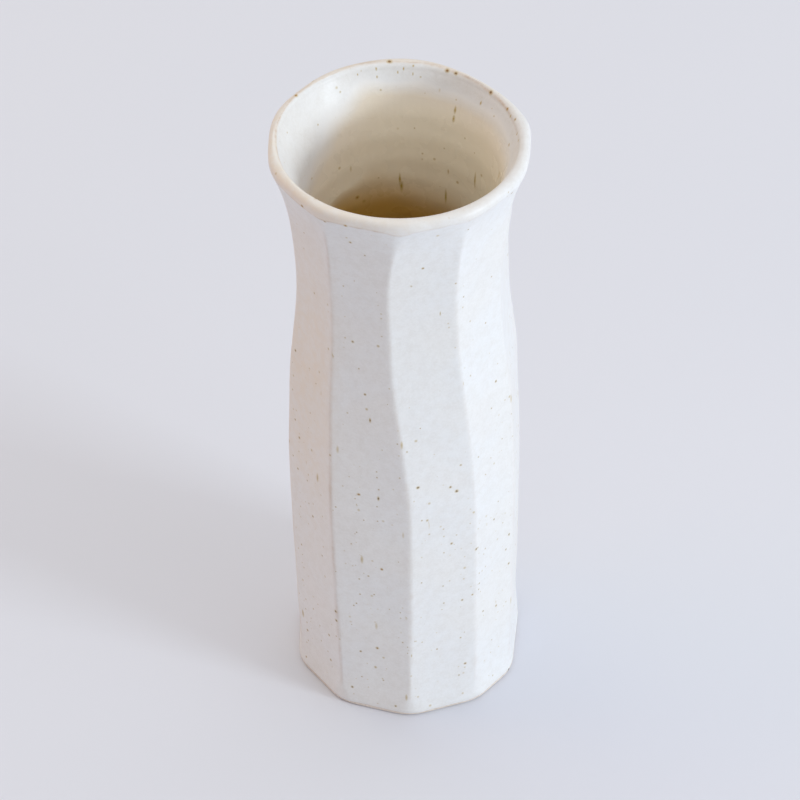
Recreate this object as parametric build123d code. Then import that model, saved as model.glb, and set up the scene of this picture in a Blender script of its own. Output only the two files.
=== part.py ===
from build123d import *

import math
import os

# A wheel-thrown stoneware vase whose outside was cut into ten facets, then glazed.
# It is four pieces: the fired clay, the liner coat poured inside, the coat on the
# outside, and the thin coat over the rim where those two meet.
#
# Millimetres, +Z up. The origin is the middle of the foot, on the surface it stands on.
# Bearings are degrees round the axis, from the front (-Y) towards +X.

# Overall form. Radii run from the axis to where the facets would meet if their edges were
# sharp, over the glaze; the rim's is at the foot of the lip.
vase_height = 180.0
facet_count = 10
foot_radius = 33.0
base_radius = 31.8
belly_radius = 32.5
shoulder_radius = 31.2
neck_radius = 28.9
flare_radius = 29.2
collar_radius = 31.2
rim_radius = 35.0

# Where those radii lie: the base and the belly above the foot, the rest below the rim.
base_height = 8.0
belly_height = 72.0
shoulder_drop = 72.0
neck_drop = 41.0
flare_drop = 27.0
collar_drop = 12.0

# Walls, floor and foot
wall_thickness = 3.5
floor_thickness = 6.5
floor_corner_radius = 9.0
foot_bevel = 0.6
foot_ring_width = 6.0
foot_recess_depth = 1.5

# Rim: an upright lip with a round top. Its height is above the facets, and its thickness
# is over the flats.
lip_height = 2.6
lip_thickness = 3.3

# Glaze: one thickness all over, wiped off the foot, with the rim coat's seams
glaze_thickness = 0.4
glaze_line_height = 1.6
lip_seam_drop = 3.2

# Facet edges: their rounding at the foot, on the wall and at the rim, how much further out
# or in each one ends at the rim, and the wandering line of each one up the wall: a row
# holds one edge's bearing at the foot, belly, neck, flare and rim.
foot_softness = 15.0
edge_softness = 1.5
rim_softness = 12.0
rim_offsets = [0.0, 0.0, 0.0, 0.0, 0.0, -1.2, 0.4, 0.2, 0.0, 0.0]
edge_bearings = [
    (-36.6, -38.6, -39.4, -39.3, -36.8),
    (-0.4, 1.5, -7.2, -7.2, -0.4),
    (35.2, 34.4, 28.7, 28.6, 30.8),
    (62.2, 64.2, 62.0, 62.4, 64.5),
    (104.5, 106.0, 103.0, 101.0, 101.5),
    (138.0, 136.5, 139.0, 140.0, 139.0),
    (175.0, 177.0, 179.0, 178.0, 175.0),
    (212.0, 214.5, 212.0, 211.0, 214.0),
    (250.0, 248.5, 247.0, 247.5, 249.0),
    (287.0, 285.5, 284.0, 285.0, 290.0),
]

# Number of level sections that the wall's facets and the lip's round top are drawn through
wall_sections = 12
lip_sections = 5

half_facet = math.radians(180 / facet_count)
neck_height = vase_height - neck_drop
flare_height = vase_height - flare_drop
collar_height = vase_height - collar_drop
lip_foot = vase_height - lip_height
profile_heights = [
    0,
    base_height,
    belly_height,
    vase_height - shoulder_drop,
    neck_height,
    flare_height,
    collar_height,
    lip_foot,
]
profile_radii = [
    foot_radius,
    base_radius,
    belly_radius,
    shoulder_radius,
    neck_radius,
    flare_radius,
    collar_radius,
    rim_radius,
]
softness_heights = [0, base_height, collar_height, lip_foot]
softnesses = [foot_softness, edge_softness, edge_softness, rim_softness]
bearing_heights = [0, belly_height, neck_height, flare_height, lip_foot]


def eased(heights, values, z):
    """Value at height z on a smooth curve through the stations, with no overshoot."""
    steps = [
        (v1 - v0) / (z1 - z0)
        for z0, z1, v0, v1 in zip(heights, heights[1:], values, values[1:])
    ]
    slopes = [steps[0]]
    for before, after in zip(steps, steps[1:]):
        turning = before * after <= 0
        slopes.append(0 if turning else 2 * before * after / (before + after))
    slopes.append(steps[-1])
    i = 0
    while i < len(steps) - 1 and z > heights[i + 1]:
        i += 1
    span = heights[i + 1] - heights[i]
    t = (z - heights[i]) / span
    rise = t * t * (3 - 2 * t)
    start = t * (1 - t) ** 2 * span * slopes[i]
    end = -(1 - t) * t * t * span * slopes[i + 1]
    return values[i] + (values[i + 1] - values[i]) * rise + start + end


def corner_radius(z):
    """Radius out to the facet edges, over the glaze."""
    return eased(profile_heights, profile_radii, z)


def facet_section(level, inset, z):
    """The outline at a level, drawn in by inset and laid at height z."""
    softness = eased(softness_heights, softnesses, level) - inset
    corners = []
    for bearings, rim_offset in zip(edge_bearings, rim_offsets):
        angle = math.radians(eased(bearing_heights, bearings, level))
        offset = eased([0, neck_height, lip_foot], [0, 0, rim_offset], level)
        reach = corner_radius(level) + offset - inset / math.cos(half_facet)
        corners.append(Vector(reach * math.sin(angle), -reach * math.cos(angle), z))
    edges = []
    bends = []
    for i, corner in enumerate(corners):
        back = (corners[i - 1] - corner).normalized()
        ahead = (corners[(i + 1) % facet_count] - corner).normalized()
        half_angle = math.radians(back.get_angle(ahead)) / 2
        tangent = softness / math.tan(half_angle)
        inward = (back + ahead).normalized()
        middle = corner + inward * (softness / math.sin(half_angle) - softness)
        bends.append((corner + back * tangent, middle, corner + ahead * tangent))
    for i, (start, middle, end) in enumerate(bends):
        edges.append(Edge.make_three_point_arc(start, middle, end))
        edges.append(Edge.make_line(end, bends[(i + 1) % facet_count][0]))
    return Face(Wire(edges))


def faceted_wall(inset):
    """Solid up to the foot of the lip, with the cut facets."""
    step = (collar_height - base_height) / (wall_sections - 1)
    levels = [0, base_height / 2]
    levels += [base_height + step * i for i in range(wall_sections)]
    levels += [(collar_height + lip_foot) / 2, lip_foot]
    return loft([facet_section(z, inset, z) for z in levels])


def flat_radius(z):
    """Radius to the middle of a facet, over the glaze."""
    return corner_radius(z) * math.cos(half_facet)


def lip_round(inset):
    """Height of the middle of the lip's round top, and its radius."""
    return vase_height - lip_thickness / 2, lip_thickness / 2 - inset


def lip(inset):
    """Solid from the foot of the lip to its top, rounded over outside."""
    middle, roll = lip_round(inset)
    sections = [facet_section(lip_foot, inset, lip_foot)]
    for i in range(lip_sections):
        angle = math.pi / 2 * i / (lip_sections - 1)
        drawn_in = inset + roll * (1 - math.cos(angle))
        sections.append(facet_section(lip_foot, drawn_in, middle + roll * math.sin(angle)))
    return loft(sections)


def cavity(inset):
    """The round inside, from the floor up over the lip's inner half."""
    middle, roll = lip_round(inset)
    crest = flat_radius(lip_foot) - lip_thickness / 2
    mouth = crest - roll
    floor = floor_thickness - inset
    corner = floor_corner_radius + inset
    wall_foot = floor + corner
    well = flat_radius(wall_foot) - wall_thickness + inset
    bend = corner * (1 - 1 / math.sqrt(2))
    diagonal = roll / math.sqrt(2)
    above = vase_height + lip_thickness
    wall = [(well, wall_foot)]
    for z in profile_heights[2:-1]:
        wall.append((flat_radius(z) - wall_thickness + inset, z))
    wall.append((mouth, middle))
    outline = [
        Line((0, floor), (well - corner, floor)),
        ThreePointArc((well - corner, floor), (well - bend, floor + bend), (well, wall_foot)),
        Spline(*wall),
        ThreePointArc(
            (mouth, middle),
            (crest - diagonal, middle + diagonal),
            (crest, middle + roll),
        ),
        Polyline((crest, middle + roll), (crest, above), (0, above), (0, floor)),
    ]
    return revolve(Plane.XZ * make_face(outline), Axis.Z)


def vase_form(inset):
    """The whole vase, inside and out, drawn in from the glazed surface by inset."""
    return Part() + faceted_wall(inset) + lip(inset) - cavity(inset)


def slab(low, high):
    """Everything between two levels."""
    reach = 4 * rim_radius
    return Pos(0, 0, (low + high) / 2) * Box(reach, reach, high - low)


def stoneware_body():
    """Fired clay: the wall, floor and lip, with a bevelled foot and a turned recess."""
    wall = vase_form(glaze_thickness) & slab(foot_bevel, vase_height)
    narrow = facet_section(0, glaze_thickness + foot_bevel, 0)
    full = facet_section(foot_bevel, glaze_thickness, foot_bevel)
    recess_radius = flat_radius(0) - foot_ring_width
    recess = Cylinder(recess_radius, 2 * foot_recess_depth)
    recess = fillet(recess.edges(), foot_recess_depth / 2)
    return wall + loft([narrow, full], ruled=True) - recess


def glaze_coats():
    """The liner, outer and rim coats, as one solid each."""
    coats = vase_form(0) - vase_form(glaze_thickness)
    seam = vase_height - lip_seam_drop
    rim = coats & slab(seam, vase_height + lip_seam_drop)
    below = (coats & slab(glaze_line_height, seam)).solids()
    liner, outside = below.sort_by(lambda solid: solid.bounding_box().size.X)
    return liner, outside, rim


clay = stoneware_body()
liner, outside, rim = glaze_coats()

nodes = {
    "stoneware_body": clay,
    "liner_glaze": liner,
    "outer_glaze": outside,
    "lip_glaze": rim,
}

os.makedirs("parts", exist_ok=True)
for name, shape in nodes.items():
    shape.label = name
    export_step(shape, f"parts/{name}.step")
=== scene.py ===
import math

import bpy
import numpy as np
from mathutils import Matrix, Vector, noise
from mathutils.bvhtree import BVHTree


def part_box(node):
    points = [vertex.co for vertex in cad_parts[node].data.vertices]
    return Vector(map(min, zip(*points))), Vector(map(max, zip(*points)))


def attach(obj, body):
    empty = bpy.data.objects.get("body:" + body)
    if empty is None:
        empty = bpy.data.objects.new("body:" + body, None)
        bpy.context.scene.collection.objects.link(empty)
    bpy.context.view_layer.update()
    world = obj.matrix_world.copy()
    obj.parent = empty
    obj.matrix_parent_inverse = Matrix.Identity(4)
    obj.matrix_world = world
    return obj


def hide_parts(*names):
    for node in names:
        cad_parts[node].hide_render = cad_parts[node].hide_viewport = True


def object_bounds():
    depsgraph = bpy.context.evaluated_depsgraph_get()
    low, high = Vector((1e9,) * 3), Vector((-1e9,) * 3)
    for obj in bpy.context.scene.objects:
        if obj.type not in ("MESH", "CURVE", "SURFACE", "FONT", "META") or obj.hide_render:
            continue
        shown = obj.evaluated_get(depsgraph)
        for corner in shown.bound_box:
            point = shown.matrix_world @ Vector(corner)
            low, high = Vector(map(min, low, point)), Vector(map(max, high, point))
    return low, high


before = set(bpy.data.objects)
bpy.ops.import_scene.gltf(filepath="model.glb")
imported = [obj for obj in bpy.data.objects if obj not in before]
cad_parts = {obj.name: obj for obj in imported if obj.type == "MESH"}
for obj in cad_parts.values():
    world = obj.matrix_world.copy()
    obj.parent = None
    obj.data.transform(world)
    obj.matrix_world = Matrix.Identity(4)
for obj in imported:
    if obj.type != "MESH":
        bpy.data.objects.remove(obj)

# The looks of a thrown, faceted and glazed stoneware vase. Everything is in metres and in
# the CAD model's own frame. Bearings are degrees round the axis, from the front (-Y)
# towards +X.
#
# The CAD solids give every surface: rays find it in rings of points. The rings are then
# worked over as the potter's hands, the wire and the glaze left them, and each CAD node
# is replaced by the piece made from its own rings.

MM = 0.001
cad_low, cad_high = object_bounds()
height = cad_high.z
glaze_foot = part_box("outer_glaze")[0].z
seam_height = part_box("lip_glaze")[0].z
floor_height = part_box("liner_glaze")[0].z
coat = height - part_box("stoneware_body")[1].z
well_floor = floor_height + coat
far = 3 * cad_high.x

# Points round each ring, and the way out from the axis at each
columns = 384
turns = np.arange(columns) * (2 * math.pi / columns)
degrees = np.degrees(turns)
outward = np.stack([np.sin(turns), -np.cos(turns), np.zeros(columns)], axis=1)

# The lip's round top: its radius, and the crest's distance from the axis
lip_roll = 1.65 * MM
crest_radius = 31.6 * MM
# The well's rounded corner and the recess under the foot, as they are in the CAD
well_corner = 9 * MM
recess_radius = 25.4 * MM

# ---------------------------------------------------------------- rings of the CAD surfaces


def tree_of(nodes):
    """One ray-casting tree over the CAD nodes' meshes."""
    points, faces = [], []
    for name in nodes:
        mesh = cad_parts[name].data
        base = len(points)
        points += [v.co.copy() for v in mesh.vertices]
        faces += [[base + i for i in p.vertices] for p in mesh.polygons]
    return BVHTree.FromPolygons(points, faces)


def ring(tree, start, aim):
    """Points where rays from start towards aim, both (radius, height), meet the surface."""
    row = []
    for out in outward:
        out = Vector(out)
        origin = out * start[0] + Vector((0, 0, start[1]))
        target = out * aim[0] + Vector((0, 0, aim[1]))
        hit = tree.ray_cast(origin, (target - origin).normalized())[0]
        row.append(hit if hit is not None else target)
    return np.array(row)


def steps(low, high, spacing):
    """Even values from low to high, both ends in, no further apart than spacing."""
    count = max(2, math.ceil(abs(high - low) / spacing) + 1)
    return np.linspace(low, high, count)


def outside_rings(tree):
    """Rings from the glaze line up to the lip's seam."""
    fine_from = seam_height - 4 * MM
    levels = list(steps(glaze_foot, glaze_foot + 2 * MM, 0.3 * MM) + 0.01 * MM)
    levels += list(steps(levels[-1], fine_from, 0.9 * MM))[1:]
    levels += list(steps(fine_from, seam_height, 0.35 * MM))[1:]
    return [ring(tree, (far, z), (0, z)) for z in levels]


def lip_rings(tree):
    """Rings from the outer seam, over the lip, down to the seam inside."""
    middle = height - lip_roll
    rows = [ring(tree, (far, z), (0, z)) for z in steps(seam_height, middle, 0.25 * MM)]
    for angle in np.linspace(0, math.pi, 21)[1:-1]:
        across, up = 3 * lip_roll * math.cos(angle), 3 * lip_roll * math.sin(angle)
        rows.append(ring(tree, (crest_radius + across, middle + up), (crest_radius, middle)))
    rows += [ring(tree, (0, z), (far, z)) for z in steps(middle, seam_height, 0.25 * MM)]
    return rows


def inside_rings(tree):
    """Rings from the seam inside down the wall, round the floor's corner to the middle."""
    corner_top = well_floor + well_corner
    fine_to = seam_height - 6 * MM
    levels = list(steps(seam_height, fine_to, 0.4 * MM))
    levels += list(steps(fine_to, corner_top, 1.2 * MM))[1:]
    rows = [ring(tree, (0, z), (far, z)) for z in levels]
    bend = np.hypot(*rows[-1][:, :2].T).mean() - well_corner
    for angle in np.linspace(0, math.pi / 2, 13)[1:]:
        across, down = 2 * well_corner * math.cos(angle), 2 * well_corner * math.sin(angle)
        rows.append(ring(tree, (bend, corner_top), (bend + across, corner_top - down)))
    for radius in steps(bend, 0.5 * MM, 1.2 * MM)[1:]:
        rows.append(ring(tree, (radius, corner_top), (radius, 0)))
    return rows


def foot_rings(tree):
    """Rings from the middle of the recess, over the foot ring, up to the glaze line."""
    below = -5 * MM
    ring_edge = 30 * MM
    radii = list(steps(0.5 * MM, recess_radius - 1.5 * MM, 2.5 * MM))
    radii += list(steps(recess_radius - 1.5 * MM, recess_radius + MM, 0.25 * MM))[1:]
    radii += list(steps(recess_radius + MM, ring_edge, 0.9 * MM))[1:]
    rows = [ring(tree, (radius, below), (radius, height)) for radius in radii]
    levels = steps(0.03 * MM, glaze_foot, 0.15 * MM)
    return rows + [ring(tree, (far, z), (0, z)) for z in levels]


glazed = tree_of(("outer_glaze", "lip_glaze", "liner_glaze"))
outside = outside_rings(glazed)
over_lip = lip_rings(glazed)
inside = inside_rings(glazed)
skin = np.array(outside + over_lip[1:] + inside[1:])
outer_last = len(outside) - 1
lip_last = outer_last + len(over_lip) - 1
foot = np.array(foot_rings(tree_of(("stoneware_body",))))

# ---------------------------------------------------------------- fields over the rings


def soften(field, across, along):
    """Gaussian blur of a (rings, columns, ...) field, closed round the columns."""
    for axis, sigma in ((1, across), (0, along)):
        if sigma == 0:
            continue
        reach = int(3 * sigma + 1)
        shifts = range(-reach, reach + 1)
        weights = np.exp(-0.5 * (np.array(shifts) / sigma) ** 2)
        weights /= weights.sum()
        total = np.zeros_like(field)
        for shift, weight in zip(shifts, weights):
            if axis == 1:
                total += weight * np.roll(field, shift, axis=1)
            else:
                index = np.clip(np.arange(len(field)) + shift, 0, len(field) - 1)
                total += weight * field[index]
        field = total
    return field


def normals_of(points):
    """Outward unit normals of a (rings, columns, 3) surface."""
    around = np.roll(points, -1, axis=1) - np.roll(points, 1, axis=1)
    along = np.gradient(points, axis=0)
    n = np.cross(around, along)
    return n / (np.linalg.norm(n, axis=2, keepdims=True) + 1e-12)


def smooth(low, high, value):
    """0 at low, 1 at high, easing between them."""
    t = np.clip((value - low) / (high - low), 0, 1)
    return t * t * (3 - 2 * t)


def bell(value, middle, width):
    """1 at middle, falling away on both sides of it."""
    return np.exp(-(((value - middle) / width) ** 2))


def bearing_bell(middle, width):
    """1 at a bearing, falling away on both sides of it, for every column."""
    away = (degrees - middle + 180) % 360 - 180
    return np.exp(-((away / width) ** 2))


def around(stations):
    """A smooth closed curve through (bearing, value) stations, one value for each column."""
    bearings, values = zip(*stations)
    line = np.interp(degrees, bearings, values, period=360)
    return soften(line[None, :], 4, 0)[0]


def cloud(points, size, seed, stretch=(1, 1, 1)):
    """Smooth noise from -1 to 1 with features of a size, at every point of the rings."""
    scaled = points / size * np.array(stretch) + seed * 17.3
    flat = [noise.noise(Vector(p)) for p in scaled.reshape(-1, 3)]
    return np.array(flat).reshape(points.shape[:2])


def along_profile(points):
    """Distance along the middle profile from the lip's crest: below 0 outside, above inside."""
    lengths = np.linalg.norm(np.diff(points, axis=0), axis=2).mean(axis=1)
    travelled = np.concatenate([[0], np.cumsum(lengths)])
    return travelled - travelled[points[:, :, 2].mean(axis=1).argmax()]


# ---------------------------------------------------------------- the potter's hands

# The rim's outline (bearing, radius in mm), rounder than the facets below it, and how far
# its inner edge stands out from an even one (bearing, mm)
rim_outline = [
    (0, 34.2), (15, 33.4), (31, 34.1), (47, 33.4), (64, 34.1), (79, 33.3), (90, 33.3), (100, 34.0),
    (112, 32.9), (126, 32.3), (140, 32.3), (153, 33.0), (165, 33.9), (178, 34.4), (192, 34.35),
    (211, 34.2), (228, 33.6), (249, 34.0), (268, 33.1), (288, 34.0), (305, 33.3), (323, 34.2),
    (342, 33.2),
]
rim_inner = [
    (0, 0.0), (45, 0.2), (90, 0.2), (125, -0.2), (160, 0.4), (200, 1.1), (240, 1.1),
    (280, 0.8), (315, 0.4),
]
# Places where a thumb or the wire left the wall fuller or thinner: bearing (degrees),
# height (mm), reach round the wall (degrees), reach up it and amount (mm)
swells = [
    (-92, 141, 42, 16, -0.7),
    (-60, 118, 30, 20, -0.25),
    (86, 157, 40, 9, 0.6),
    (88, 121, 35, 9, -0.35),
    (88, 103, 35, 8, 0.3),
    (150, 60, 35, 22, 0.3),
    (210, 95, 30, 24, -0.3),
]
# The wall's waviness: amount and size of its features (mm), seed, and stretch
waves = [
    (0.22, 26, 1, (1, 1, 1)),
    (0.07, 8, 2, (1, 1, 0.7)),
    (0.022, 2.6, 3, (1, 1, 0.5)),
]
# The throwing rings inside, mm
throwing_spacing = 6.8
throwing_depth = 0.055


def worked(points):
    """The rings as the potter's hands and the wire left them. All levels are in mm."""
    along = along_profile(points)[:, None] / MM
    z = points[:, :, 2] / MM
    radius = np.hypot(points[:, :, 0], points[:, :, 1]) / MM
    inner = smooth(-1.2, 1.2, along)
    outer = 1 - inner
    near_rim = smooth(164, 177.5, z)
    rim_outer = around(rim_outline) - radius[outer_last : lip_last + 1].max(axis=0)
    push = near_rim * (outer * rim_outer + inner * around(rim_inner))
    for bearing, level, wide, tall, amount in swells:
        push += outer * (1 - near_rim) * amount * bearing_bell(bearing, wide) * bell(z, level, tall)
    on_wall = smooth(0, 6, z) * (1 - smooth(170, 177, z))
    for amount, size, seed, stretch in waves:
        push += outer * on_wall * amount * cloud(points, size * MM, seed, stretch)
    in_well = smooth(3, 12, along) * smooth(3, 8, radius)
    sway = 1.98 * cloud(points, 30 * MM, 4)
    push += in_well * throwing_depth * np.sin(z / throwing_spacing * 2 * math.pi + sway)
    push += in_well * 0.12 * cloud(points, 18 * MM, 5, (1, 1, 2))
    lip = bell(along, 0, 3.2)
    push += lip * 0.10 * cloud(points, 7 * MM, 6)
    moved = points + outward[None, :, :] * (push * MM)[:, :, None]
    dip = 0.24 + 0.12 * np.sin(np.radians(degrees * 2 + 40)) + 0.08 * np.sin(np.radians(degrees * 3))
    moved[:, :, 2] -= lip * dip * MM
    return moved


def glaze_line(points):
    """The coat thins to a soft, slightly wandering edge at the wiped line above the foot."""
    points = points.copy()
    above = (points[:, :, 2] - glaze_foot) / MM
    thinned = 0.32 * (1 - smooth(0, 1.0, above)) ** 1.5
    points -= outward[None, :, :] * (thinned * MM)[:, :, None]
    wander = 0.35 * cloud(points[:1], 9 * MM, 7) + 0.2 * cloud(points[:1], 3.5 * MM, 8)
    points[:, :, 2] += (1 - smooth(0, 3, above)) * (wander - 0.55) * MM
    return points


skin = worked(soften(skin, 0.55, 0.5))
# The lip runs into the wall inside without a step
skin += (soften(skin, 0, 5) - skin) * bell(along_profile(skin) / MM, 3.6, 1.9)[:, None, None]
normals = normals_of(skin)
under = skin - normals * coat * 0.98
skin[: outer_last + 1] = glaze_line(skin[: outer_last + 1])
normals = normals_of(skin)
foot = soften(foot, 1.2, 0)

# ---------------------------------------------------------------- how the glaze lies

along = along_profile(skin)[:, None] / MM
levels = skin[:, :, 2] / MM
patchy = cloud(skin, 11 * MM, 11)
fine_patchy = cloud(skin, 3 * MM, 12)
sharpness = ((skin - soften(skin, 1.6, 0)) * normals).sum(axis=2) / MM
outer_side = 1 - smooth(-3.6, -2.8, along)

# Thin over the facet edges, where the clay warms it
edge_thin = outer_side * smooth(0.06, 0.17, sharpness + 0.02 * fine_patchy)
warm_side = around(
    [(0, 0.55), (35, 0.3), (80, 0.25), (140, 0.5), (200, 0.7), (300, 0.9), (322, 1.15)]
)
edge_thin *= warm_side * (0.75 + 0.5 * patchy)

# Cream over the lip, down to its crease, which dips where a facet edge runs into it.
# Distances are mm along the profile from the lip's crest, as (bearing, value) stations.
crease_at = np.full(columns, -3.85)
for bearing, drop in ((-0.5, 1.5), (31, 0.5), (-37, 0.6), (64, 0.4), (290, 0.4)):
    crease_at -= drop * bearing_bell(bearing, 5.5)
from_crease = along - crease_at + 0.15 * fine_patchy
cream_inside = around(
    [(0, 2.2), (60, 1.8), (105, 1.8), (140, 0.5), (180, -0.2), (250, 0.1), (280, 1.5), (310, 1.8)]
)
from_inside = along - cream_inside + 0.35 * patchy
lip_band = smooth(-0.2, 0.25, from_crease) * (1 - smooth(-0.3, 0.9, from_inside))
# How much cream the lip shows round it: partly the glaze's own cream, partly painted light, left out
# on the lit right side and strongest on the left, away from the light
lip_cream_and_light = around(
    [(0, 0.45), (40, 0.2), (60, 0), (105, 0), (125, 0.4), (160, 0.8), (215, 0.9), (300, 1), (330, 1)]
)
cream = lip_band * lip_cream_and_light

# Cream too over the middle of the left facet, partly where the coat lies thin and partly painted
# warm light from the left
thin_facet_and_warm_light = around([(0, 0), (270, 0), (287, 1), (315, 1), (325, 0)])
cream += outer_side * 0.85 * thin_facet_and_warm_light * bell(levels, 112, 46) * (1 + 0.3 * patchy)

# Toasted lines along both borders of the lip's cream
crease_strength = around([(0, 0.6), (40, 0.2), (90, 0.1), (200, 0.4), (270, 0.8), (330, 1.1)])
edge_strength = around(
    [(0, 0.3), (60, 0.1), (90, 0.1), (115, 0.9), (150, 0.8), (200, 0.6), (270, 0.8), (300, 0.4)]
)
crease = bell(from_crease, 0, 0.33) * crease_strength
inner_edge = bell(from_inside, 0.1, 0.42) * edge_strength
toast = (crease + inner_edge) * (0.7 + 0.6 * fine_patchy)

# Warmer down the inside and brown in the well, partly the glaze's own tone and partly painted shade:
# the warm tone starts higher on the right and back, where the inside lies in shade, and lower on the
# lit left, which is painted shade, and the deep brown is partly painted deep shade
painted_shade_sooner = around(
    [(70, 4), (110, 11), (170, 20), (195, 15), (225, -5), (255, -14), (300, -8), (350, 4)]
)
below_mouth = smooth(2, 17, along) * (1 - 0.7 * smooth(20, 50, along))
# Where the deep brown begins round the well, which is partly painted deep shade
brown_and_shade_nearer = around([(120, -5), (160, -2), (195, 3), (225, 3), (270, 0)])
depth = 0.85 * smooth(2, 40, along + 5 * patchy + painted_shade_sooner * below_mouth)
depth += 0.15 * smooth(31, 46, along + 1.5 * patchy + brown_and_shade_nearer)

# How thickly the iron specks lie
speckle = np.where(along < 0, 0.35 + 0.65 * smooth(125, 85, levels), 0.3)
speckle *= 0.35 + 0.65 * smooth(-0.25, 0.35, patchy + 0.4 * cloud(skin, 24 * MM, 13))
speckle *= smooth(1, 7, levels)

fields = {
    "edge_thin": np.clip(edge_thin, 0, 1),
    "cream": np.clip(cream, 0, 1),
    "toast": np.clip(toast, 0, 1),
    "depth": np.clip(depth, 0, 1),
    "speckle": np.clip(speckle, 0, 1),
}

# ---------------------------------------------------------------- pieces


def quads(first_a, first_b, count):
    """Faces of a band between two rings of the same count."""
    following = (np.arange(count) + 1) % count
    here = np.arange(count)
    return np.stack([first_a + here, first_a + following, first_b + following, first_b + here], 1)


def finish_mesh(name, mesh, vertex_normals, values):
    """Smooth shading on given normals, sharp borders, and the fields as attributes."""
    mesh.shade_smooth()
    mesh.set_sharp_from_angle(angle=math.radians(50))
    mesh.normals_split_custom_set_from_vertices([tuple(n) for n in vertex_normals])
    for field, value in values.items():
        layer = mesh.attributes.new(field, "FLOAT", "POINT")
        layer.data.foreach_set("value", value.astype(np.float32))
    piece = bpy.data.objects.new(name, mesh)
    bpy.context.scene.collection.objects.link(piece)
    return piece


def map_in_strips(mesh, rows, strips):
    """A bake map: the front in level strips over nearly all of it, the rest in a sliver."""
    sliver = 0.04
    c = np.tile(np.arange(columns), rows - 1)
    r = np.repeat(np.arange(rows - 1), columns)
    strip = np.floor(c * strips / columns)
    start = (c * strips / columns) % 1
    end = start + strips / columns
    low = (strip + r / (rows - 1)) / strips
    high = (strip + (r + 1) / (rows - 1)) / strips
    corners = np.stack([start, low, end, low, end, high, start, high], 1).reshape(-1, 2)
    front = len(corners)
    coordinates = np.full((len(mesh.loops), 2), sliver / 2)
    coordinates[:front] = corners * (1, 1 - sliver) + (0, sliver)
    coordinates[front:, 0] = np.linspace(0, 1, len(mesh.loops) - front)
    layer = mesh.uv_layers.new(name="OFBake")
    layer.data.foreach_set("uv", coordinates.ravel().astype(np.float32))


def shell(name, first, last, strips):
    """A closed coat from ring first to ring last, coarser on its hidden side on the clay."""
    coarse = 4
    rows = last + 1 - first
    kept = sorted(set(range(0, rows, coarse)) | {rows - 1})

    def both_sides(front, back):
        """The coat's own part of front, then its coarser part of back, as one list."""
        front = front[first : last + 1]
        back = back[first : last + 1][kept][:, ::coarse]
        return np.concatenate([side.reshape(-1, *side.shape[2:]) for side in (front, back)])

    back_columns = columns // coarse
    base = rows * columns
    bands = [quads(r * columns, (r + 1) * columns, columns) for r in range(rows - 1)]
    for r in range(len(kept) - 1):
        band = quads(base + r * back_columns, base + (r + 1) * back_columns, back_columns)
        bands.append(band[:, ::-1])
    faces = [tuple(face) for band in bands for face in band.tolist()]
    # Both ends of the coat close onto its coarser side
    for edge_row, back_row, flip in ((0, 0, True), (rows - 1, len(kept) - 1, False)):
        behind = base + back_row * back_columns
        for c in range(back_columns):
            fine = [edge_row * columns + (c * coarse + i) % columns for i in range(coarse + 1)]
            loop = fine + [behind + (c + 1) % back_columns, behind + c]
            faces.append(tuple(reversed(loop)) if flip else tuple(loop))
    mesh = bpy.data.meshes.new(name)
    mesh.from_pydata([tuple(p) for p in both_sides(skin, under)], [], faces)
    map_in_strips(mesh, rows, strips)
    values = {field: both_sides(value, value) for field, value in fields.items()}
    return finish_mesh(name, mesh, both_sides(normals, -normals), values)


def clay_solid(name):
    """The closed clay: underside and foot from the CAD, then the surface under the coats.

    The coats hide most of it, so it keeps half the columns, every third ring of the wall
    and every second one of the rest.
    """
    bottom = len(under) - 1
    kept = list(range(0, outer_last, 3)) + list(range(outer_last, lip_last, 2))
    kept = sorted(set(kept) | set(range(lip_last, bottom, 2)) | {bottom})
    rings = np.concatenate([foot, under[kept]])[:, ::2]
    count = rings.shape[1]
    bands = [quads(r * count, (r + 1) * count, count) for r in range(len(rings) - 1)]
    faces = [tuple(face) for band in bands for face in band.tolist()]
    faces.append(tuple(range(count - 1, -1, -1)))
    faces.append(tuple((len(rings) - 1) * count + i for i in range(count)))
    mesh = bpy.data.meshes.new(name)
    mesh.from_pydata([tuple(p) for p in rings.reshape(-1, 3)], [], faces)
    ring_normals = normals_of(rings)
    return finish_mesh(name, mesh, ring_normals.reshape(-1, 3), {})


# ---------------------------------------------------------------- materials


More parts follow.
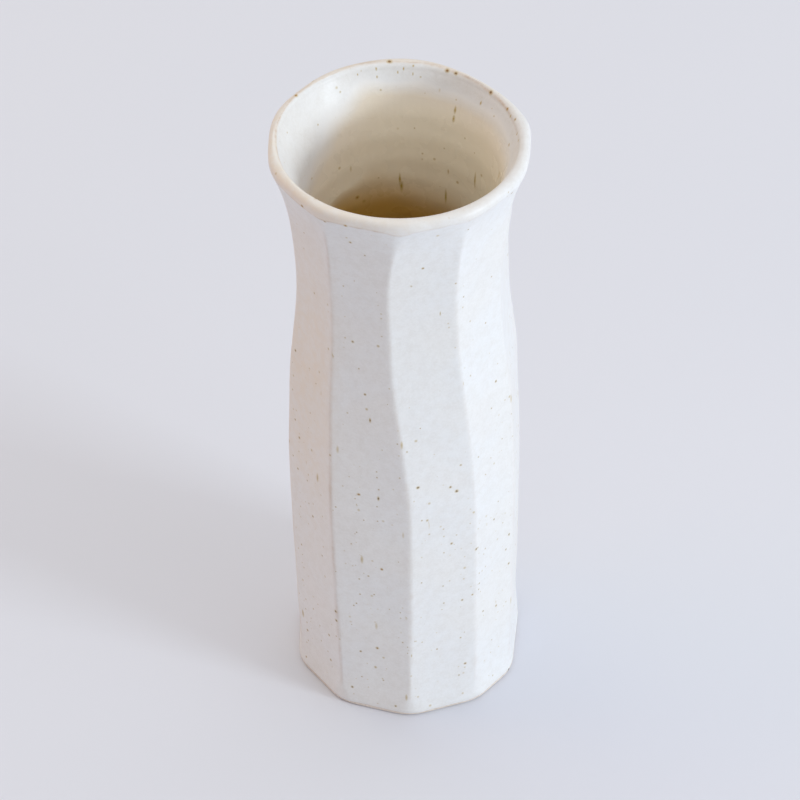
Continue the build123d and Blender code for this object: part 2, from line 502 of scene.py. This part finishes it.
class Shader:
    """A node material that is built a node at a time."""

    def __init__(self, name):
        self.material = bpy.data.materials.new(name)
        self.material.use_nodes = True
        self.tree = self.material.node_tree
        self.surface = self.tree.nodes["Principled BSDF"]
        self.place = self.add("ShaderNodeTexCoord").outputs["Object"]

    def add(self, kind, **settings):
        node = self.tree.nodes.new(kind)
        for key, value in settings.items():
            setattr(node, key, value)
        return node

    def feed(self, socket, value):
        """Links another node's output to a socket, or sets the socket to a number."""
        if isinstance(value, bpy.types.NodeSocket):
            self.tree.links.new(value, socket)
        else:
            socket.default_value = value

    def field(self, name):
        return self.add("ShaderNodeAttribute", attribute_name=name).outputs["Fac"]

    def maths(self, operation, *values):
        node = self.add("ShaderNodeMath", operation=operation)
        for socket, value in zip(node.inputs, values):
            self.feed(socket, value)
        return node.outputs["Value"]

    def greater(self, value, other, share):
        """The greater of a value and a share of another."""
        return self.maths("MAXIMUM", value, self.maths("MULTIPLY", other, share))

    def blend(self, amount, below, above):
        """Colour above laid over colour below by an amount."""
        node = self.add("ShaderNodeMix", data_type="RGBA")
        self.feed(node.inputs["Factor"], amount)
        for name, tone in (("A", below), ("B", above)):
            linked = isinstance(tone, bpy.types.NodeSocket)
            self.feed(node.inputs[name], tone if linked else (*tone, 1))
        return node.outputs["Result"]

    def between(self, value, low, high, to_low=0.0, to_high=1.0):
        """Value carried smoothly from low..high to to_low..to_high."""
        node = self.add("ShaderNodeMapRange", interpolation_type="SMOOTHSTEP")
        limits = {"From Min": low, "From Max": high, "To Min": to_low, "To Max": to_high}
        for name, number in limits.items():
            self.feed(node.inputs[name], number)
        self.feed(node.inputs["Value"], value)
        return node.outputs["Result"]

    def stretched(self, factors, offset=(0, 0, 0)):
        """The place on the object, scaled by factors and moved by an offset."""
        node = self.add("ShaderNodeMapping")
        self.feed(node.inputs["Vector"], self.place)
        node.inputs["Scale"].default_value = factors
        node.inputs["Location"].default_value = offset
        return node.outputs["Vector"]

    def noise(self, scale, detail=3.0, rough=0.5, place=None):
        node = self.add("ShaderNodeTexNoise")
        self.feed(node.inputs["Vector"], place or self.place)
        node.inputs["Scale"].default_value = scale
        node.inputs["Detail"].default_value = detail
        node.inputs["Roughness"].default_value = rough
        return node.outputs["Fac"]

    def dots(self, scale, place):
        """Cells with one dot each: distance to the dot, and two random numbers for it."""
        node = self.add("ShaderNodeTexVoronoi", feature="F1")
        self.feed(node.inputs["Vector"], place)
        node.inputs["Scale"].default_value = scale
        parts = self.add("ShaderNodeSeparateColor")
        self.feed(parts.inputs["Color"], node.outputs["Color"])
        return node.outputs["Distance"], parts.outputs["Red"], parts.outputs["Green"]

    def bump(self, height, strength, distance):
        """Relief of the surface from a height field, distance deep."""
        node = self.add("ShaderNodeBump")
        node.inputs["Strength"].default_value = strength
        node.inputs["Distance"].default_value = distance
        self.feed(node.inputs["Height"], height)
        self.feed(self.surface.inputs["Normal"], node.outputs["Normal"])


def specks(m, place, spacing, largest, density):
    """Iron specks scattered through the glaze: how much core and how much halo shows.

    spacing is the cells' size and largest the biggest speck's radius, both metres.
    """
    distance, size, chance = m.dots(1 / spacing, place)
    reach = m.maths("MULTIPLY", m.between(size, 0.0, 1.0, 0.3, 1.0), largest / spacing)
    share = m.maths("DIVIDE", distance, reach)
    here = m.maths("LESS_THAN", chance, density)
    core = m.maths("MULTIPLY", m.between(share, 0.55, 1.0, 1.0, 0.0), here)
    halo = m.maths("MULTIPLY", m.between(share, 0.8, 2.2, 1.0, 0.0), here)
    return core, halo


# The larger specks outside and inside, and the ochre runs inside: bearing (degrees), height,
# half width and half height (mm)
outer_specks = [
    (6, 87, 0.34, 0.34),
    (25, 83, 0.36, 0.36),
    (-18, 109, 0.2, 0.5),
    (-13, 56, 0.3, 0.3),
    (-17, 24, 0.32, 0.32),
    (-24, 82, 0.35, 0.3),
    (-14, 82, 0.25, 0.5),
    (-38, 35, 0.35, 0.35),
    (-38, 31.5, 0.35, 0.35),
    (-12, 177, 0.5, 0.35),
    (-24, 177, 0.35, 0.35),
    (-42, 176.5, 0.4, 0.4),
    (-47, 177.5, 0.35, 0.35),
]
inner_specks = [
    (234, 179.7, 0.35, 0.3),
    (184, 179.7, 0.5, 0.25),
    (128, 179.3, 0.45, 0.45),
    (113, 179.2, 0.3, 0.4),
    (104, 179.3, 0.28, 0.28),
    (208, 143, 0.4, 0.4),
    (151, 179.4, 0.4, 0.3),
    (156, 179.4, 0.45, 0.35),
]
inner_runs = [
    (200, 178, 0.12, 0.4),
    (190, 178.5, 0.15, 0.5),
    (190, 176.6, 0.14, 0.45),
    (180, 177.6, 0.14, 0.45),
    (177, 178.3, 0.13, 0.7),
    (172.5, 179.2, 0.15, 0.5),
    (172.5, 177.3, 0.13, 0.7),
    (132, 175.5, 0.2, 0.65),
    (109, 178.7, 0.16, 0.6),
    (96, 178.3, 0.14, 0.8),
    (90, 178.6, 0.15, 0.5),
    (147, 170.5, 0.23, 1.5),
    (147, 168.3, 0.25, 0.9),
    (127, 154, 0.22, 1.9),
    (150, 143.5, 0.23, 1.5),
    (179, 144, 0.3, 1.1),
    (180, 146.5, 0.2, 1.4),
]
outer_rows = range(lip_last + 1)
inner_rows = range(outer_last + len(over_lip) // 2, len(skin))


def marked(m, marks, rows):
    """How much core and halo of the marks, which lie on these rows of the rings, shows here."""
    ragged = 0.25 * MM
    wobble = m.add("ShaderNodeTexNoise")
    m.feed(wobble.inputs["Vector"], m.place)
    wobble.inputs["Scale"].default_value = 2200
    shifted = m.add("ShaderNodeVectorMath", operation="MULTIPLY_ADD")
    m.feed(shifted.inputs[0], wobble.outputs["Color"])
    shifted.inputs[1].default_value = (ragged,) * 3
    m.feed(shifted.inputs[2], m.place)
    nearest = None
    for bearing, level, wide, tall in marks:
        # The point of the rings that is nearest to the mark's bearing and height
        column = round(bearing % 360 / 360 * columns) % columns
        row = min(rows, key=lambda r: abs(skin[r, column, 2] / MM - level))
        away = m.add("ShaderNodeVectorMath", operation="SUBTRACT")
        m.feed(away.inputs[0], shifted.outputs["Vector"])
        away.inputs[1].default_value = skin[row, column] + ragged / 2
        scaled = m.add("ShaderNodeVectorMath", operation="MULTIPLY")
        m.feed(scaled.inputs[0], away.outputs["Vector"])
        scaled.inputs[1].default_value = (1 / (wide * MM), 1 / (wide * MM), 1 / (tall * MM))
        length = m.add("ShaderNodeVectorMath", operation="LENGTH")
        m.feed(length.inputs[0], scaled.outputs["Vector"])
        value = length.outputs["Value"]
        nearest = value if nearest is None else m.maths("MINIMUM", nearest, value)
    return m.between(nearest, 0.5, 1.0, 1.0, 0.0), m.between(nearest, 0.8, 2.2, 1.0, 0.0)


def white(m, fine):
    """White with faint warm and cool clouds and a fine mottling."""
    clouds = m.noise(45, 3)
    colour = m.blend(m.between(clouds, 0.35, 0.65), (0.80, 0.79, 0.775), (0.80, 0.805, 0.81))
    colour = m.blend(m.between(fine, 0.35, 0.7, 0.0, 0.45), colour, (0.73, 0.71, 0.685))
    finest = m.noise(1500, 2, 0.6)
    return m.blend(m.between(finest, 0.35, 0.7, 0.0, 0.3), colour, (0.87, 0.87, 0.875))


def well_tone_and_shade(m, depth):
    """Warmer and then brown with depth inside: partly the glaze's own tone, where it pooled less,
    and partly painted shade, darkest deep in the well.
    """
    tones = [
        (0.0, (0.86, 0.87, 0.89)),
        (0.3, (0.92, 0.84, 0.71)),
        (0.6, (0.92, 0.835, 0.68)),
        (0.85, (0.94, 0.86, 0.70)),
        (1.0, (0.58, 0.36, 0.09)),
    ]
    ramp = m.add("ShaderNodeValToRGB")
    m.feed(ramp.inputs["Fac"], depth)
    stops = ramp.color_ramp.elements
    stops.remove(stops[1])
    for position, tone in tones:
        stop = stops[0] if position == 0 else stops.new(position)
        stop.color = (*tone, 1)
    return ramp.outputs["Color"]


def iron(m, side):
    """How much dark core and how much rusty halo of the iron in the glaze shows."""
    speckle = m.field("speckle")
    few = m.maths("MULTIPLY", speckle, 0.8)
    fewer = m.maths("MULTIPLY", speckle, 0.45)
    apart = m.stretched((1, 1, 1), (0.011, 0.007, 0.003))
    drawn = m.stretched((1, 1, 0.3))
    strength = 0.7 if side == 1 else 0.3
    # Small round specks, tiny freckles, and runs that the fire drew down: place, spacing,
    # largest radius, density, and how strongly their cores and their halos show
    scattered = [
        (m.place, 3.1 * MM, 0.31 * MM, speckle, strength, 0.55),
        (apart, 1.9 * MM, 0.2 * MM, few, 0.7 * strength, 0.45),
        (drawn, 2.9 * MM, 0.3 * MM, fewer, 0.2, 0.55),
    ]
    core_all, halo_all = 0.0, 0.0
    for place, spacing, largest, density, core_share, halo_share in scattered:
        core, halo = specks(m, place, spacing, largest, density)
        core_all = m.greater(core_all, core, core_share)
        halo_all = m.greater(halo_all, halo, halo_share)
    # The larger marks of the sides that the coat is on
    placed = [(outer_specks, outer_rows)] if side >= 0 else []
    placed += [(inner_specks, inner_rows)] if side <= 0 else []
    for marks, rows in placed:
        core, halo = marked(m, marks, rows)
        core_all = m.greater(core_all, core, 0.85)
        halo_all = m.greater(halo_all, halo, 0.6)
    if side <= 0:
        core, halo = marked(m, inner_runs, inner_rows)
        halo_all = m.greater(halo_all, halo, 0.6)
        halo_all = m.greater(halo_all, core, 0.95)
    return core_all, halo_all


def glaze_relief(m):
    """Orange peel, the wire's chatter in patches across the facets, and a fine waviness."""
    peel = m.noise(900, 2, 0.5)
    chatter = m.noise(260, 3, 0.6, m.stretched((0.18, 0.18, 2.2)))
    patches = m.noise(38, 1, 0.5, m.stretched((1, 1, 0.8), (0.3, 0.1, 0.2)))
    chatter = m.maths("MULTIPLY", chatter, m.between(patches, 0.45, 0.62))
    relief = m.maths("MULTIPLY_ADD", chatter, 1.2, m.maths("MULTIPLY", peel, 0.5))
    return m.maths("MULTIPLY_ADD", m.noise(330, 2), 0.9, relief)


def glaze(name, side):
    """Speckled white glaze. Side is +1 for the outside, -1 for the inside, 0 for the lip."""
    m = Shader(name)
    depth = m.field("depth")
    fine = m.noise(420, 4, 0.6)
    colour = m.blend(m.between(depth, 0.0, 0.08), white(m, fine), well_tone_and_shade(m, depth))

    # The clay breaks through: thin edges, the lip's cream, toasted lines. The cream also holds
    # painted light: it is left out where the lip is lit, and on the left facet it is partly painted
    # warm light
    breaks = m.noise(700, 3, 0.6)
    broken = [
        ("edge_thin", m.between(breaks, 0.25, 0.7, 0.35, 0.8), (0.62, 0.50, 0.43)),
        ("cream", m.between(fine, 0.3, 0.7, 0.55, 0.95), (0.81, 0.73, 0.635)),
        ("toast", m.between(breaks, 0.3, 0.7, 0.3, 0.9), (0.55, 0.39, 0.26)),
    ]
    for field, patchiness, tone in broken:
        colour = m.blend(m.maths("MULTIPLY", m.field(field), patchiness), colour, tone)

    # Iron, darkest outside
    core, halo = iron(m, side)
    rust = m.blend(m.noise(300, 2), (0.43, 0.30, 0.03), (0.54, 0.38, 0.12))
    darkest, reddest = (0.15, 0.06, 0.015), (0.36, 0.15, 0.02)
    if side == 1:
        darkest, reddest = (0.08, 0.04, 0.02), (0.27, 0.12, 0.03)
    dark = m.blend(m.between(m.noise(160, 1), 0.4, 0.6), darkest, reddest)
    colour = m.blend(core, m.blend(halo, colour, rust), dark)
    m.feed(m.surface.inputs["Base Color"], colour)

    # Satin outside, glossier inside, drier on the iron
    gloss = m.between(depth, 0.0, 0.2, 0.42, 0.26)
    rough = m.maths("ADD", gloss, m.between(m.noise(120, 3), 0.3, 0.7, -0.04, 0.06))
    rough = m.maths("MULTIPLY_ADD", core, 0.15, rough)
    m.feed(m.surface.inputs["Roughness"], rough)
    m.surface.inputs["Specular IOR Level"].default_value = 0.45
    m.bump(glaze_relief(m), 0.8, 0.07 * MM)
    return m.material


def bare_clay(name):
    """Toasted, speckled stoneware, matt and finely gritty."""
    m = Shader(name)
    tone = m.blend(m.noise(90, 4), (0.71, 0.63, 0.56), (0.78, 0.72, 0.66))
    tone = m.blend(m.between(m.noise(900, 4, 0.7), 0.4, 0.8, 0.0, 0.5), tone, (0.50, 0.38, 0.29))
    core, halo = specks(m, m.place, 2.4 * MM, 0.4 * MM, 0.6)
    tone = m.blend(m.maths("MULTIPLY", halo, 0.5), tone, (0.30, 0.17, 0.08))
    tone = m.blend(core, tone, (0.05, 0.03, 0.02))
    m.feed(m.surface.inputs["Base Color"], tone)
    m.feed(m.surface.inputs["Roughness"], m.between(m.noise(500, 3), 0.3, 0.7, 0.78, 0.92))
    m.bump(m.noise(1400, 3, 0.65), 0.6, 0.08 * MM)
    return m.material


coats = [
    ("outer_coat", "outer_glaze", 0, outer_last, 1, glaze("satin_glaze", 1)),
    ("lip_coat", "lip_glaze", outer_last, lip_last, 4, glaze("lip_break_glaze", 0)),
    ("liner_coat", "liner_glaze", lip_last, len(skin) - 1, 1, glaze("liner_gloss_glaze", -1)),
]
for name, node, first, last, strips, material in coats:
    piece = shell(name, first, last, strips)
    piece.data.materials.append(material)
    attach(piece, "root")
    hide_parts(node)
clay = clay_solid("clay_body")
clay.data.materials.append(bare_clay("bare_stoneware"))
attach(clay, "root")
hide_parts("stoneware_body")

# ---------------------------------------------------------------- camera, floor and light


def camera():
    """A long lens looking down at the front, a little off level."""
    data = bpy.data.cameras.new("camera")
    data.sensor_width = 36
    data.lens = 180
    data.clip_end = 20
    eye = bpy.data.objects.new("camera", data)
    bpy.context.scene.collection.objects.link(eye)
    elevation = math.radians(42.58)
    roll = math.radians(-1.17)
    distance = 1.074
    target = Vector((-1.15 * MM, 0, height / 2))
    back = Vector((0, -math.cos(elevation), math.sin(elevation)))
    right = Vector((1, 0, 0))
    up = back.cross(right)
    turned_right = right * math.cos(roll) + up * math.sin(roll)
    turned_up = up * math.cos(roll) - right * math.sin(roll)
    axes = Matrix((turned_right, turned_up, back)).transposed()
    eye.matrix_world = Matrix.Translation(target + back * distance) @ axes.to_4x4()
    bpy.context.scene.camera = eye


def area_light(name, bearing, elevation, distance, size, power, colour):
    """A soft rectangular light that faces the vase."""
    data = bpy.data.lights.new(name, "AREA")
    data.shape = "RECTANGLE"
    data.size, data.size_y = size
    data.energy = power
    data.color = colour
    lamp = bpy.data.objects.new(name, data)
    bpy.context.scene.collection.objects.link(lamp)
    turn, rise = math.radians(bearing), math.radians(elevation)
    level = math.cos(rise)
    out = Vector((math.sin(turn) * level, -math.cos(turn) * level, math.sin(rise)))
    lamp.location = Vector((0, 0, height / 2)) + out * distance
    lamp.rotation_mode = "QUATERNION"
    lamp.rotation_quaternion = out.to_track_quat("Z", "Y")


def table():
    """A wide pale matt floor."""
    mesh = bpy.data.meshes.new("table")
    half = 6.0
    corners = [(-half, -half, 0), (half, -half, 0), (half, half, 0), (-half, half, 0)]
    mesh.from_pydata(corners, [], [(0, 1, 2, 3)])
    ground = bpy.data.objects.new("table", mesh)
    bpy.context.scene.collection.objects.link(ground)
    m = Shader("table")
    tone = m.blend(m.noise(9, 2), (0.74, 0.76, 0.83), (0.76, 0.775, 0.84))
    m.feed(m.surface.inputs["Base Color"], tone)
    m.surface.inputs["Roughness"].default_value = 0.75
    ground.data.materials.append(m.material)


def surroundings(colour, strength):
    """Even light from all round."""
    world = bpy.data.worlds.new("world")
    world.use_nodes = True
    background = world.node_tree.nodes["Background"]
    background.inputs["Color"].default_value = (*colour, 1)
    background.inputs["Strength"].default_value = strength
    bpy.context.scene.world = world


# Name, bearing and elevation (degrees), distance and size (m), power (W), colour
lights = [
    ("key", 62, 13.5, 2.0, (0.5, 0.32), 19.4, (0.83, 0.93, 1.0)),
    ("key_high", 60, 38, 2.0, (1.4, 1.4), 4.2, (0.82, 0.87, 1.0)),
    ("top", 180, 70, 1.7, (2.4, 2.4), 12.9, (0.89, 0.93, 1.0)),
    ("left", -95, 12, 1.8, (1.2, 1.2), 3.0, (1.0, 0.25, 0.15)),
    ("back_left", -120, 45, 2.0, (1.6, 1.6), 3.6, (1.0, 0.84, 0.3)),
]
camera()
table()
for light in lights:
    area_light(*light)
surroundings((1.0, 0.973, 0.96), 0.507)
bpy.context.scene.view_settings.view_transform = "Standard"
